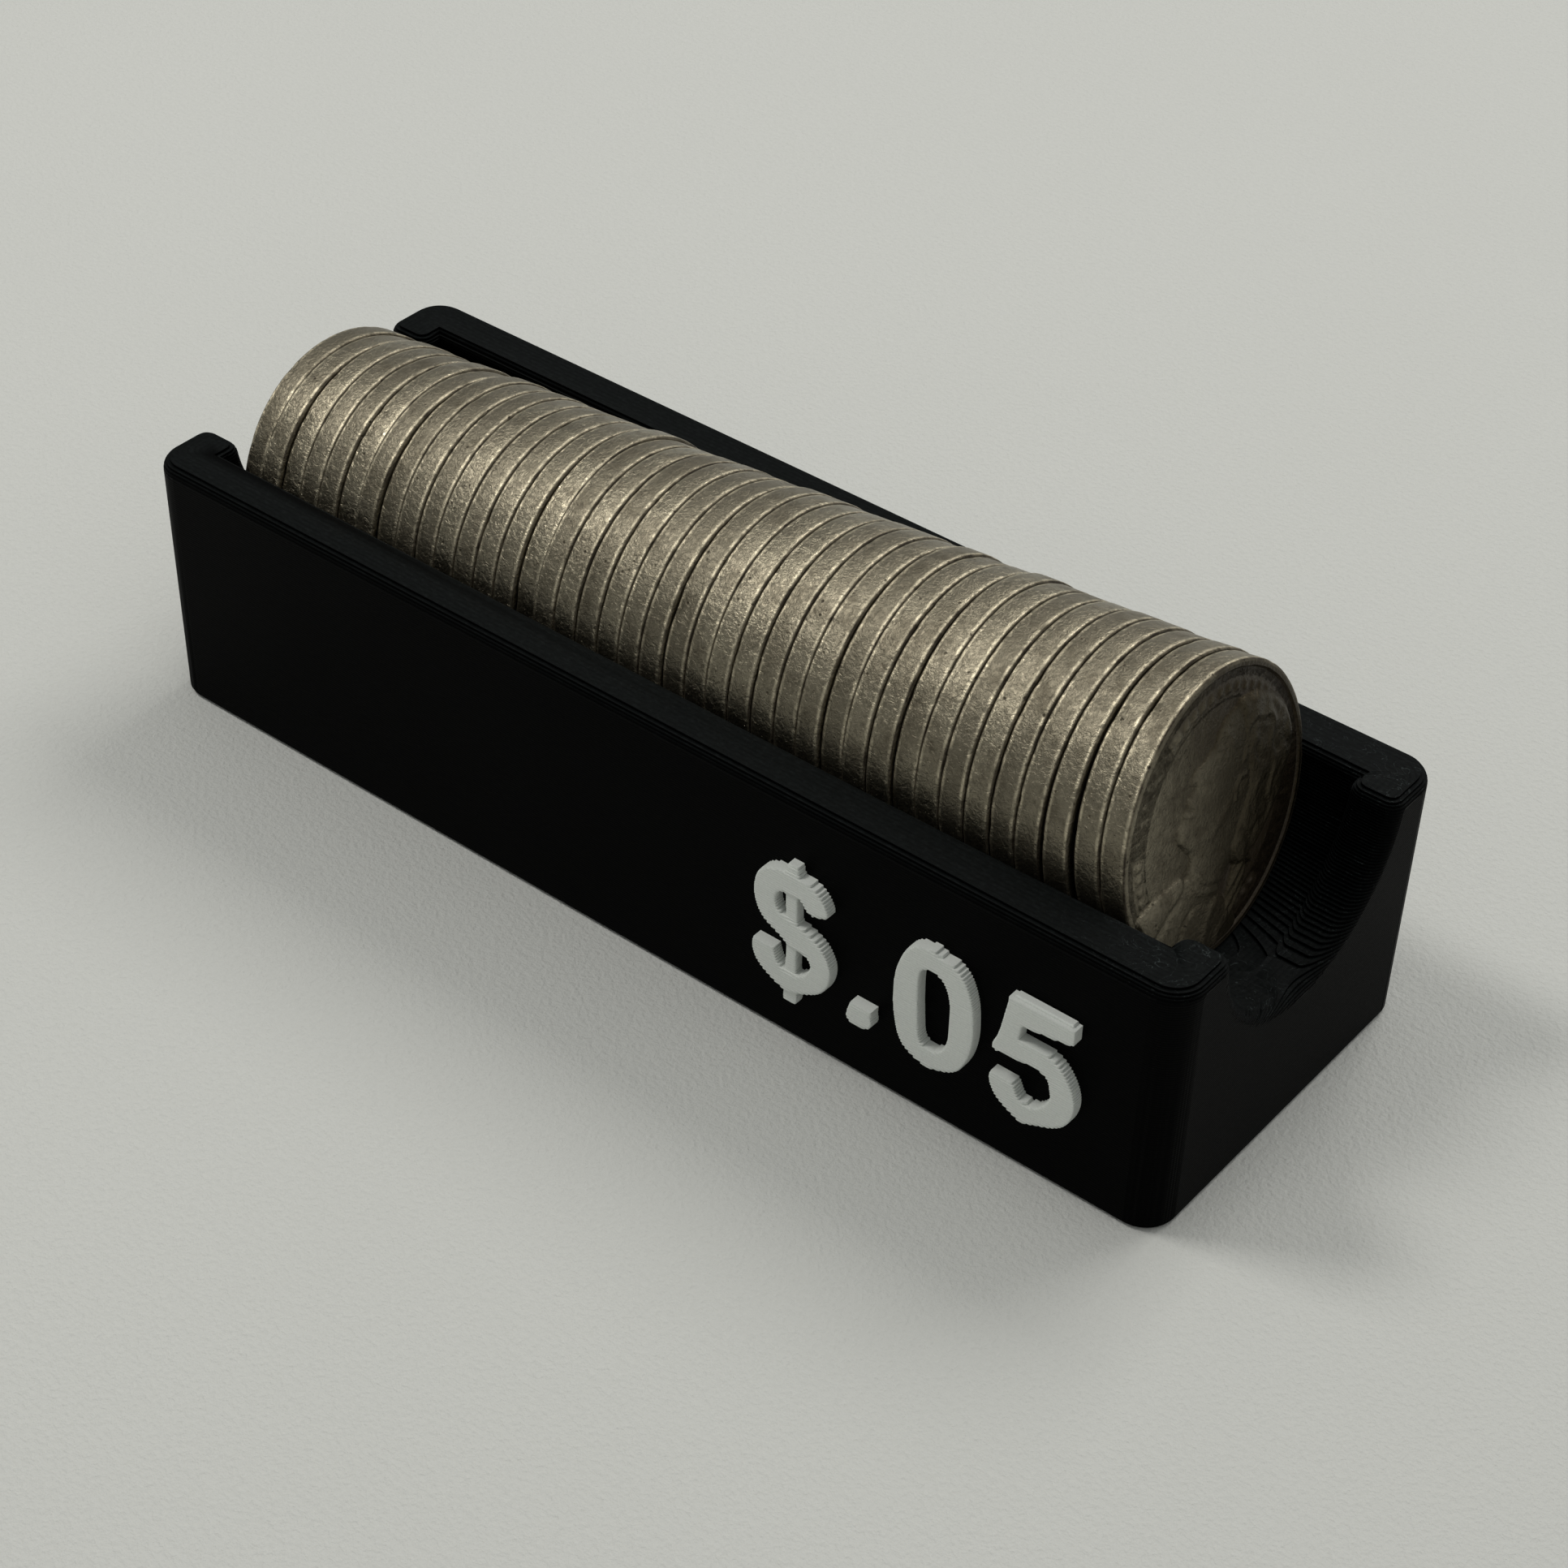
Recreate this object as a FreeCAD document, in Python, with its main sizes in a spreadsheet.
# Coin sorter: a printed tray that holds a full roll of five-cent coins on edge.
# The coins stand in a half-round trough whose floor slopes down to the left end,
# so that they slide together there and lean back on each other.
# Frame: millimetres, +X along the tray to its high end, +Z up, the raised price
# mark on the -Y side, and the origin at the centre of the underside.
import FreeCAD, Part
import math
import os
import Sketcher

from FreeCAD import Placement, Rotation, Vector

# Driving sizes: cell alias, value in millimetres or degrees, meaning
SIZES = [
    ("coin_diameter", 21.21, "outside diameter of one coin"),
    ("coin_thickness", 1.95, "thickness of one coin at its rim"),
    ("coin_count", 40, "coins in a full roll"),
    ("coin_gap", 0.045, "dirt and dents between two coins"),
    ("rim_width", 1.2, "raised rim of a coin, measured inwards"),
    ("rim_height", 0.15, "depth of a coin's field below its rim"),
    ("spare_room", 6.6, "trough length beyond the coins' own thickness"),
    ("trough_clearance", 0.895, "from a coin's edge to the side of the trough"),
    ("floor_low", 4.4, "trough floor above the underside at the low end"),
    ("slope_angle", 5.0, "rise of the trough floor towards +X"),
    ("lean_step", 2.0, "extra lean of each of the last leaning coins"),
    ("seat_height", 3.2, "where the first coin meets the end wall, above its centre"),
    ("side_wall", 4.0, "wall beside the trough at its widest"),
    ("end_wall", 4.0, "wall at each end of the trough"),
    ("corner_radius", 2.5, "upright outer corners"),
    ("edge_round", 1.0, "rounding of every upper edge"),
    ("foot_chamfer", 0.4, "small chamfer round the underside"),
    ("notch_inset", 1.8, "how much narrower than the trough a notch is, each side"),
    ("notch_lip", 0.2, "notch bottom above the high end of the floor"),
    ("notch_round", 1.2, "rounding of the notch edges on both wall faces"),
    ("wall_drop", 0.5, "top of the walls below the axis of the notches"),
    ("mark_base", 5.1, "foot of the characters above the underside"),
    ("mark_margin", 6.65, "from the last character to the end of the tray"),
    ("relief", 0.9, "how far the mark stands off the side wall"),
    ("stroke", 1.9, "width of a character's strokes"),
    ("mark_bevel", 0.4, "bevel of the characters' front edges"),
    ("digit_width", 6.7, "width of the zero and of the five"),
    ("digit_gap", 1.55, "space between neighbouring characters"),
    ("point_width", 2.2, "decimal point across"),
    ("point_height", 2.1, "decimal point upwards"),
    ("point_corner", 0.5, "corner radius of the decimal point"),
    ("bowl_lower", 2.25, "lower bowl of the dollar sign, to the stroke's middle"),
    ("tip_drop", 1.5, "upper end of the dollar sign's stroke below its top"),
    ("dollar_tail", 2.3, "lower end of the dollar sign's stroke above its foot"),
    ("bar_width", 1.1, "upright bar of the dollar sign"),
    ("bar_relief", 0.75, "how far that bar stands off the side wall"),
    ("bar_above", 0.8, "bar above the top of the dollar sign"),
    ("bar_below", 1.1, "bar below the foot of the dollar sign"),
    ("five_gap", 1.55, "between the top stroke of the five and its bowl"),
    ("five_bowl", 2.45, "bowl of the five, to the stroke's middle"),
    ("five_shoulder", 2.3, "top of the five's upright stroke, from the left"),
    ("five_heel", 1.05, "foot of that upright stroke, from the left"),
    ("five_reach", 6.3, "right end of the five's top stroke, from the left"),
    ("five_tail", 2.2, "lower end of the five's stroke above its foot"),
]

# Sizes that follow from the driving ones: cell alias, formula, meaning
DERIVED = [
    ("coin_radius", "coin_diameter / 2", "half of a coin"),
    ("field_radius", "coin_radius - rim_width", "the coin's field inside its rim"),
    ("trough_radius", "coin_radius + trough_clearance", "half-round trough"),
    ("trough_width", "2 * trough_radius", "trough, inside"),
    ("cavity_length", "coin_count * coin_thickness + spare_room", "trough, inside"),
    ("half_cavity", "cavity_length / 2", "middle to the trough's end faces"),
    ("tray_length", "cavity_length + 2 * end_wall", "tray, outside"),
    ("half_length", "tray_length / 2", "middle to the tray's end faces"),
    ("tray_width", "trough_width + 2 * side_wall", "tray, outside"),
    ("half_width", "tray_width / 2", "middle to the tray's side faces"),
    ("slope_run", "cos(slope_angle)", "the floor's direction, along X"),
    ("slope_rise", "sin(slope_angle)", "the floor's direction, upwards"),
    ("floor_high", "floor_low + cavity_length * tan(slope_angle)", "floor, high end"),
    ("notch_radius", "trough_radius - notch_inset", "half-round end notches"),
    ("notch_axis", "floor_high + notch_lip + notch_radius", "height of their axis"),
    ("tray_height", "notch_axis - wall_drop", "underside to the top of the walls"),
    ("low_start", "-half_cavity", "the trough's low end face"),
    ("low_axis", "floor_low + trough_radius", "height of the trough's axis there"),
    ("high_axis", "floor_high + trough_radius", "height of its axis at the high end face"),
    ("trough_top", "low_axis + tray_height", "top of the trough's section, clear of the walls"),
    ("sill_foot", "floor_high / 2", "foot of the sill, inside the high end wall"),
    ("half_stroke", "stroke / 2", "half of a stroke"),
    ("mark_height", "2 * (stroke + five_bowl) + five_gap", "height of the characters"),
    ("five_left", "half_length - mark_margin - digit_width", "left of the five"),
    ("zero_middle", "five_left - digit_gap - digit_width / 2", "middle of the zero"),
    ("point_middle", "zero_middle - digit_width / 2 - digit_gap - point_width / 2",
     "middle of the point"),
    ("bowl_upper", "(mark_height - stroke) / 2 - bowl_lower", "upper bowl's middle line"),
    ("dollar_middle", "point_middle - point_width / 2 - digit_gap - bowl_lower - stroke / 2",
     "middle of the dollar sign"),
    ("digit_radius", "digit_width / 2", "round ends of the zero"),
    ("hole_radius", "digit_radius - stroke", "round ends of the zero's hole"),
    ("zero_span", "mark_height - digit_width", "between the centres of those ends"),
    ("mark_middle", "mark_base + mark_height / 2", "middle height of the mark"),
    ("point_level", "mark_base + point_height / 2", "middle height of the point"),
    ("lower_centre", "half_stroke + bowl_lower", "centre of the lower bowl"),
    ("dollar_tip", "mark_height - tip_drop", "upper end of the dollar sign's stroke"),
    ("bar_length", "mark_height + bar_above + bar_below", "upright bar, end to end"),
    ("bar_left", "dollar_middle - bar_width / 2", "left side of that bar"),
    ("bar_foot", "mark_base - bar_below", "foot of that bar"),
    ("mark_front", "-half_width - relief", "front of the mark"),
    ("bar_front", "-half_width - bar_relief", "front of the upright bar"),
    ("wall_side", "-half_width", "side wall that carries the mark"),
    ("five_top", "mark_height - half_stroke", "middle of the five's top stroke"),
    ("five_end", "five_reach - half_stroke", "end of that stroke's middle line"),
    ("five_centre", "digit_width - half_stroke - five_bowl", "bowl centre from the left"),
    ("five_level", "half_stroke + five_bowl", "bowl centre above the foot"),
]

# How many coins at the free end lean further back, and over how many steps
LEANING_COINS = 3
LEAN_STEPS = 2
# Starting angles of the characters' arcs, in degrees, before the sketch is solved
TIP_ANGLE = 45
TAIL_ANGLE = -155
# Two heights closer than this are the same, in millimetres
SAME = 1e-4

doc = FreeCAD.newDocument("coin_sorter")


def make_sheet():
    """Put every size into a spreadsheet, one aliased cell each."""
    sheet = doc.addObject("Spreadsheet::Sheet", "sizes")
    rows = [(name, str(value), note) for name, value, note in SIZES]
    rows += [(name, "=" + formula, note) for name, formula, note in DERIVED]
    for row, (name, content, note) in enumerate(rows, start=1):
        sheet.set("A%d" % row, name)
        sheet.set("B%d" % row, content)
        sheet.set("C%d" % row, note)
        sheet.setAlias("B%d" % row, name)
    doc.recompute()
    return sheet


sheet = make_sheet()


def size(name):
    """The present value of one cell of the sheet."""
    return float(getattr(sheet, name))


def bind(thing, path, name):
    """Tie a property or a sketch dimension to a cell of the sheet."""
    thing.setExpression(path, "sizes." + name)


def new_body(label):
    """An empty body whose label is the name of the piece."""
    body = doc.addObject("PartDesign::Body", "body_" + label)
    body.Label = label
    return body


def plane_of(body, role):
    """One of the body's own origin planes."""
    for feature in body.Origin.OriginFeatures:
        if feature.Role == role:
            return feature
    raise ValueError("no plane called " + role)


def new_sketch(body, name, role, **offset):
    """A sketch on an origin plane, moved along that plane's x, y and z by sheet cells."""
    sketch = body.newObject("Sketcher::SketchObject", name)
    sketch.AttachmentSupport = (plane_of(body, role), [""])
    sketch.MapMode = "FlatFace"
    for axis, cell in offset.items():
        bind(sketch, "AttachmentOffset.Base." + axis, cell)
    return sketch


def dimension(sketch, name, kind, *where):
    """Add one driving dimension, tied to a cell of the sheet."""
    index = sketch.addConstraint(Sketcher.Constraint(kind, *where, size(name)))
    bind(sketch, "Constraints[%d]" % index, name)


def relate(sketch, *relations):
    """Add geometric constraints, each given as its name and what it joins."""
    for relation in relations:
        sketch.addConstraint(Sketcher.Constraint(*relation))


def line(x1, y1, x2, y2):
    return Part.LineSegment(Vector(x1, y1, 0), Vector(x2, y2, 0))


def arc(x, y, radius, start, end):
    """An arc that runs anticlockwise from start to end, in degrees."""
    circle = Part.Circle(Vector(x, y, 0), Vector(0, 0, 1), radius)
    return Part.ArcOfCircle(circle, math.radians(start), math.radians(end))


def rounded_rectangle(sketch, length, width, radius):
    """A rectangle about the sketch's origin, its four corners tangent arcs."""
    x = size(length) / 2
    y = size(width) / 2
    r = size(radius)
    sketch.addGeometry([
        line(r - x, -y, x - r, -y), arc(x - r, r - y, r, -90, 0),
        line(x, r - y, x, y - r), arc(x - r, y - r, r, 0, 90),
        line(x - r, y, r - x, y), arc(r - x, y - r, r, 90, 180),
        line(-x, y - r, -x, r - y), arc(r - x, r - y, r, 180, 270)], False)
    relate(sketch, *[("Tangent", i, 2, (i + 1) % 8, 1) for i in range(8)])
    relate(sketch, ("Horizontal", 0), ("Horizontal", 4), ("Vertical", 2), ("Vertical", 6),
           ("Equal", 1, 3), ("Equal", 1, 5), ("Equal", 1, 7),
           ("Symmetric", 1, 3, 5, 3, -1, 1))
    dimension(sketch, radius, "Radius", 1)
    dimension(sketch, length, "DistanceX", 6, 1, 2, 1)
    dimension(sketch, width, "DistanceY", 0, 1, 4, 1)


def upright_slot(sketch, radius, span):
    """A slot with round ends about the sketch's origin, its long way upright."""
    r = size(radius)
    y = size(span) / 2
    first = sketch.GeometryCount
    top, left, bottom, right = range(first, first + 4)
    sketch.addGeometry([arc(0, y, r, 0, 180), line(-r, y, -r, -y),
                        arc(0, -y, r, 180, 360), line(r, -y, r, y)], False)
    relate(sketch, ("Tangent", top, 2, left, 1), ("Tangent", left, 2, bottom, 1),
           ("Tangent", bottom, 2, right, 1), ("Tangent", right, 2, top, 1),
           ("Vertical", left), ("Equal", top, bottom),
           ("Symmetric", top, 3, bottom, 3, -1, 1))
    dimension(sketch, radius, "Radius", top)
    dimension(sketch, span, "DistanceY", bottom, 3, top, 3)


def half_round_profile(sketch, axis, far_side):
    """The trough's half round about an axis, closed by a straight side above or below it."""
    r = size("trough_radius")
    level = size(axis)
    side = size(far_side)
    sketch.addGeometry([arc(0, level, r, 180, 360), line(r, level, r, side),
                        line(r, side, -r, side), line(-r, side, -r, level)], False)
    relate(sketch, ("Coincident", 1, 2, 2, 1), ("Coincident", 2, 2, 3, 1),
           ("Tangent", 0, 2, 1, 1), ("Tangent", 3, 2, 0, 1),
           ("Vertical", 1), ("Vertical", 3), ("Horizontal", 2),
           ("PointOnObject", 0, 3, -2))
    dimension(sketch, "trough_radius", "Radius", 0)
    dimension(sketch, axis, "DistanceY", -1, 1, 0, 3)
    dimension(sketch, far_side, "DistanceY", -1, 1, 2, 1)


def notch_profile(sketch):
    """Half section of what an end notch takes away, about the notch's axis."""
    inner = size("half_cavity")
    outer = size("half_length")
    r = size("notch_radius")
    q = size("notch_round")
    sketch.addGeometry([
        line(outer, 0, inner, 0), line(inner, 0, inner, r + q),
        arc(inner + q, r + q, q, 180, 270), line(inner + q, r, outer - q, r),
        arc(outer - q, r + q, q, 270, 360), line(outer, r + q, outer, 0)], False)
    relate(sketch, ("Coincident", 0, 2, 1, 1), ("Coincident", 1, 2, 2, 1),
           ("Tangent", 2, 2, 3, 1), ("Tangent", 3, 2, 4, 1),
           ("Coincident", 4, 2, 5, 1), ("Coincident", 5, 2, 0, 1),
           ("PointOnObject", 0, 1, -1), ("PointOnObject", 0, 2, -1),
           ("Vertical", 1), ("Vertical", 5), ("Horizontal", 3),
           ("Horizontal", 2, 1, 2, 3), ("Horizontal", 4, 2, 4, 3), ("Equal", 2, 4))
    dimension(sketch, "notch_round", "Radius", 2)
    dimension(sketch, "notch_radius", "DistanceY", -1, 1, 3, 1)
    dimension(sketch, "half_cavity", "DistanceX", -1, 1, 0, 2)
    dimension(sketch, "half_length", "DistanceX", -1, 1, 0, 1)


def add_pad(body, name, sketch, length, sloping=False):
    pad = body.newObject("PartDesign::Pad", name)
    pad.Profile = sketch
    if sloping:
        follow_slope(pad)
    bind(pad, "Length", length)
    doc.recompute()
    return pad


def follow_slope(feature):
    """Lay a pad or a pocket along the floor's slope, its length still measured along X."""
    feature.UseCustomVector = True
    feature.AlongSketchNormal = True
    feature.Direction = Vector(1, 0, 0)
    bind(feature, "Direction.x", "slope_run")
    bind(feature, "Direction.z", "slope_rise")


def add_pocket(body, name, sketch, depth, upwards=False, sloping=False):
    """Cut a sketch's outline into the body, and make sure that it took something away."""
    before = body.Shape.Volume
    pocket = body.newObject("PartDesign::Pocket", name)
    pocket.Profile = sketch
    pocket.Reversed = upwards
    if sloping:
        follow_slope(pocket)
    bind(pocket, "Length", depth)
    doc.recompute()
    if body.Shape.Volume >= before:
        raise ValueError(name + " cuts nothing")
    return pocket


def edges_at(shape, level):
    """Names of the edges that lie wholly at one height."""
    names = []
    for number, edge in enumerate(shape.Edges, start=1):
        box = edge.BoundBox
        if abs(box.ZMin - level) < SAME and abs(box.ZMax - level) < SAME:
            names.append("Edge%d" % number)
    return names


def make_tray():
    """The tray: a block with a sloping half-round trough and rounded end notches."""
    body = new_body("tray")
    outline = new_sketch(body, "tray_outline", "XY_Plane")
    rounded_rectangle(outline, "tray_length", "tray_width", "corner_radius")
    add_pad(body, "block", outline, "tray_height")

    channel = new_sketch(body, "trough_outline", "YZ_Plane", z="low_start")
    half_round_profile(channel, "low_axis", "trough_top")
    add_pocket(body, "trough", channel, "cavity_length", sloping=True)

    spool = new_sketch(body, "notch_outline", "XZ_Plane", y="notch_axis")
    notch_profile(spool)
    notch = body.newObject("PartDesign::Groove", "notch")
    notch.Profile = spool
    notch.ReferenceAxis = (spool, ["H_Axis"])
    notch.Angle = 360
    doc.recompute()
    both = body.newObject("PartDesign::Mirrored", "both_notches")
    both.Originals = [notch]
    both.MirrorPlane = (plane_of(body, "YZ_Plane"), [""])
    body.Tip = both
    doc.recompute()

    # The floor runs on over the notch's rounding, as a sill
    step = new_sketch(body, "sill_outline", "YZ_Plane", z="half_cavity")
    half_round_profile(step, "high_axis", "sill_foot")
    add_pad(body, "sill", step, "notch_round", sloping=True)
    # What the sill has above the walls goes again
    cover = new_sketch(body, "trim_outline", "XY_Plane", z="tray_height")
    rounded_rectangle(cover, "tray_length", "tray_width", "corner_radius")
    trim = body.newObject("PartDesign::Pocket", "trim")
    trim.Profile = cover
    trim.Reversed = True
    bind(trim, "Length", "trough_top")
    doc.recompute()

    rim = body.newObject("PartDesign::Fillet", "upper_edges")
    rim.Base = (trim, edges_at(trim.Shape, size("tray_height")))
    bind(rim, "Radius", "edge_round")
    doc.recompute()
    foot = body.newObject("PartDesign::Chamfer", "foot")
    foot.Base = (rim, edges_at(rim.Shape, 0))
    bind(foot, "Size", "foot_chamfer")
    doc.recompute()
    return body


def stack_places():
    """Where each coin's left face stands, as its middle, its direction and its lean."""
    slope = math.radians(size("slope_angle"))
    thick = size("coin_thickness")
    radius = size("coin_radius")
    count = int(size("coin_count"))
    low_end = Vector(-size("half_cavity"), 0, size("floor_low"))
    along = Vector(math.cos(slope), 0, math.sin(slope))
    upright = Vector(-math.sin(slope), 0, math.cos(slope))
    # The first coin leans back on the low end wall, a little above its own centre
    step_off = radius * math.sin(slope) + size("seat_height") * math.tan(slope)
    travel = thick / 2 + step_off / math.cos(slope)
    height = radius
    lean = 0.0
    places = []
    for number in range(1, count + 1):
        if number > 1:
            steps = min(max(number - (count - LEANING_COINS), 0), LEAN_STEPS)
            next_lean = math.radians(steps * size("lean_step"))
            turn = next_lean - lean
            next_height = radius * math.cos(next_lean) + thick / 2 * math.sin(next_lean)
            reach = size("coin_gap") + thick / 2 * (1 + math.cos(turn))
            reach += radius * math.sin(turn)
            travel += (reach - (next_height - height) * math.sin(lean)) / math.cos(lean)
            height = next_height
            lean = next_lean
        facing = along * math.cos(lean) + upright * math.sin(lean)
        middle = low_end + along * travel + upright * height
        places.append((middle - facing * (thick / 2), math.degrees(slope + lean)))
    return places


def coin_placement(place):
    """A coin is made lying flat, and is stood on edge by a turn about Y."""
    middle, lean = place
    return Placement(middle, Rotation(Vector(0, 1, 0), 90 - lean))


def make_plain_coin(label, place):
    """A coin inside the stack, where only its edge can be seen."""
    coin = doc.addObject("Part::Cylinder", "disc_" + label)
    coin.Label = label
    bind(coin, "Radius", "coin_radius")
    bind(coin, "Height", "coin_thickness")
    coin.Placement = coin_placement(place)
    return coin


def add_circle(sketch, radius):
    circle = Part.Circle(Vector(0, 0, 0), Vector(0, 0, 1), size(radius))
    sketch.addGeometry(circle, False)
    relate(sketch, ("Coincident", 0, 3, -1, 1))
    dimension(sketch, radius, "Radius", 0)


def make_end_coin(label, place):
    """A coin at an end of the stack, with the raised rim of both its faces."""
    body = new_body(label)
    edge = new_sketch(body, label + "_edge", "XY_Plane")
    add_circle(edge, "coin_radius")
    add_pad(body, label + "_blank", edge, "coin_thickness")
    top = new_sketch(body, label + "_right_field", "XY_Plane", z="coin_thickness")
    add_circle(top, "field_radius")
    add_pocket(body, label + "_right_rim", top, "rim_height")
    bottom = new_sketch(body, label + "_left_field", "XY_Plane")
    add_circle(bottom, "field_radius")
    add_pocket(body, label + "_left_rim", bottom, "rim_height", upwards=True)
    body.Placement = coin_placement(place)
    return body


def make_coins():
    """The whole roll, coin_01 at the low end."""
    places = stack_places()
    coins = []
    for number, place in enumerate(places, start=1):
        make = make_end_coin if number in (1, len(places)) else make_plain_coin
        coins.append(make("coin_%02d" % number, place))
    doc.recompute()
    return coins


def front_edges(shape):
    """Edge numbers of the outlines on a character's front."""
    level = shape.BoundBox.YMin
    numbers = []
    for number, edge in enumerate(shape.Edges, start=1):
        box = edge.BoundBox
        if abs(box.YMin - level) < SAME and abs(box.YMax - level) < SAME:
            numbers.append(number)
    return numbers


def bevel_front(body, pad):
    """Bevel the front edges of a character that is made as a body."""
    bevel = body.newObject("PartDesign::Chamfer", pad.Name + "_edges")
    bevel.Base = (pad, ["Edge%d" % number for number in front_edges(pad.Shape)])
    bind(bevel, "Size", "mark_bevel")
    doc.recompute()
    return body


def make_point():
    body = new_body("mark_point")
    outline = new_sketch(body, "point_outline", "XZ_Plane",
                         x="point_middle", y="point_level", z="half_width")
    rounded_rectangle(outline, "point_width", "point_height", "point_corner")
    return bevel_front(body, add_pad(body, "point", outline, "relief"))


def make_zero():
    body = new_body("mark_zero")
    outline = new_sketch(body, "zero_outline", "XZ_Plane",
                         x="zero_middle", y="mark_middle", z="half_width")
    upright_slot(outline, "digit_radius", "zero_span")
    upright_slot(outline, "hole_radius", "zero_span")
    return bevel_front(body, add_pad(body, "zero", outline, "relief"))


def new_path(name, left):
    """A sketch on the side wall for the middle line of a character's stroke."""
    sketch = doc.addObject("Sketcher::SketchObject", name)
    sketch.Placement = Placement(Vector(0, 0, 0), Rotation(Vector(1, 0, 0), 90))
    bind(sketch, "Placement.Base.x", left)
    bind(sketch, "Placement.Base.y", "wall_side")
    bind(sketch, "Placement.Base.z", "mark_base")
    doc.recompute()
    return sketch


def five_path(sketch):
    """Top stroke, upright stroke, heel and bowl, from the figure's lower left corner."""
    top = size("five_top")
    shoulder = size("five_shoulder")
    heel = size("five_heel")
    x = size("five_centre")
    y = size("five_level")
    r = size("five_bowl")
    sketch.addGeometry([line(size("five_end"), top, shoulder, top),
                        line(shoulder, top, heel, y + r), line(heel, y + r, x, y + r),
                        arc(x, y, r, TAIL_ANGLE, 90)], False)
    relate(sketch, ("Horizontal", 0), ("Coincident", 0, 2, 1, 1),
           ("Coincident", 1, 2, 2, 1), ("Horizontal", 2), ("Tangent", 2, 2, 3, 2))
    dimension(sketch, "five_top", "DistanceY", -1, 1, 0, 1)
    dimension(sketch, "five_end", "DistanceX", -1, 1, 0, 1)
    dimension(sketch, "five_shoulder", "DistanceX", -1, 1, 0, 2)
    dimension(sketch, "five_heel", "DistanceX", -1, 1, 1, 2)
    dimension(sketch, "five_centre", "DistanceX", -1, 1, 3, 3)
    dimension(sketch, "five_level", "DistanceY", -1, 1, 3, 3)
    dimension(sketch, "five_bowl", "Radius", 3)
    dimension(sketch, "five_tail", "DistanceY", -1, 1, 3, 1)


def dollar_path(sketch):
    """Two bowls that meet in a common tangent, from the foot of the sign's middle."""
    lower = size("lower_centre")
    low_r = size("bowl_lower")
    high_r = size("bowl_upper")
    sketch.addGeometry([arc(0, lower + low_r + high_r, high_r, TIP_ANGLE, 270),
                        arc(0, lower, low_r, TAIL_ANGLE, 90)], False)
    relate(sketch, ("Tangent", 0, 2, 1, 2), ("PointOnObject", 0, 3, -2),
           ("PointOnObject", 1, 3, -2))
    dimension(sketch, "bowl_upper", "Radius", 0)
    dimension(sketch, "bowl_lower", "Radius", 1)
    dimension(sketch, "lower_centre", "DistanceY", -1, 1, 1, 3)
    dimension(sketch, "dollar_tip", "DistanceY", -1, 1, 0, 1)
    dimension(sketch, "dollar_tail", "DistanceY", -1, 1, 1, 1)


def make_stroke(name, path):
    """Widen a middle line to a stroke with round ends, and raise it off the wall."""
    doc.recompute()
    outline = doc.addObject("Part::Offset2D", name + "_outline")
    outline.Source = path
    outline.Mode = "Pipe"
    outline.Join = "Arc"
    outline.Fill = True
    bind(outline, "Value", "half_stroke")
    stroke = doc.addObject("Part::Extrusion", name + "_stroke")
    stroke.Base = outline
    stroke.DirMode = "Custom"
    stroke.Dir = Vector(0, -1, 0)
    stroke.Solid = True
    bind(stroke, "LengthFwd", "relief")
    doc.recompute()
    return stroke


def bevel_stroke(name, base):
    """Bevel the front edges of a stroke."""
    bevelled = doc.addObject("Part::Chamfer", name)
    bevelled.Base = base
    width = size("mark_bevel")
    bevelled.Edges = [(number, width, width) for number in front_edges(base.Shape)]
    doc.recompute()
    return bevelled


def make_five():
    path = new_path("five_path", "five_left")
    five_path(path)
    figure = bevel_stroke("five_bevelled", make_stroke("five", path))
    figure.Label = "mark_five"
    return figure


def make_dollar():
    path = new_path("dollar_path", "dollar_middle")
    dollar_path(path)
    bar = doc.addObject("Part::Box", "dollar_bar")
    bind(bar, "Length", "bar_width")
    bind(bar, "Width", "bar_relief")
    bind(bar, "Height", "bar_length")
    bind(bar, "Placement.Base.x", "bar_left")
    bind(bar, "Placement.Base.y", "bar_front")
    bind(bar, "Placement.Base.z", "bar_foot")
    doc.recompute()
    sign = doc.addObject("Part::MultiFuse", "dollar_sign")
    sign.Shapes = [bevel_stroke("dollar_bevelled", make_stroke("dollar", path)), bar]
    sign.Label = "mark_dollar"
    doc.recompute()
    return sign


def check_document(pieces):
    """Stop if any object of the document failed, or a piece isn't one sound solid."""
    for thing in doc.Objects:
        if "Invalid" in thing.State or "Error" in thing.State:
            raise ValueError("%s failed: %s" % (thing.Name, thing.State))
    for piece in pieces:
        shape = piece.Shape
        if shape.isNull() or not shape.isValid() or len(shape.Solids) != 1:
            raise ValueError(piece.Label + " isn't one sound solid")


def main():
    tray = make_tray()
    mark = [make_dollar(), make_point(), make_zero(), make_five()]
    coins = make_coins()
    pieces = [tray] + mark + coins
    check_document(pieces)
    os.makedirs("parts", exist_ok=True)
    for piece in pieces:
        piece.Shape.exportStep("parts/%s.step" % piece.Label)
    print(len(pieces), "pieces written")


main()
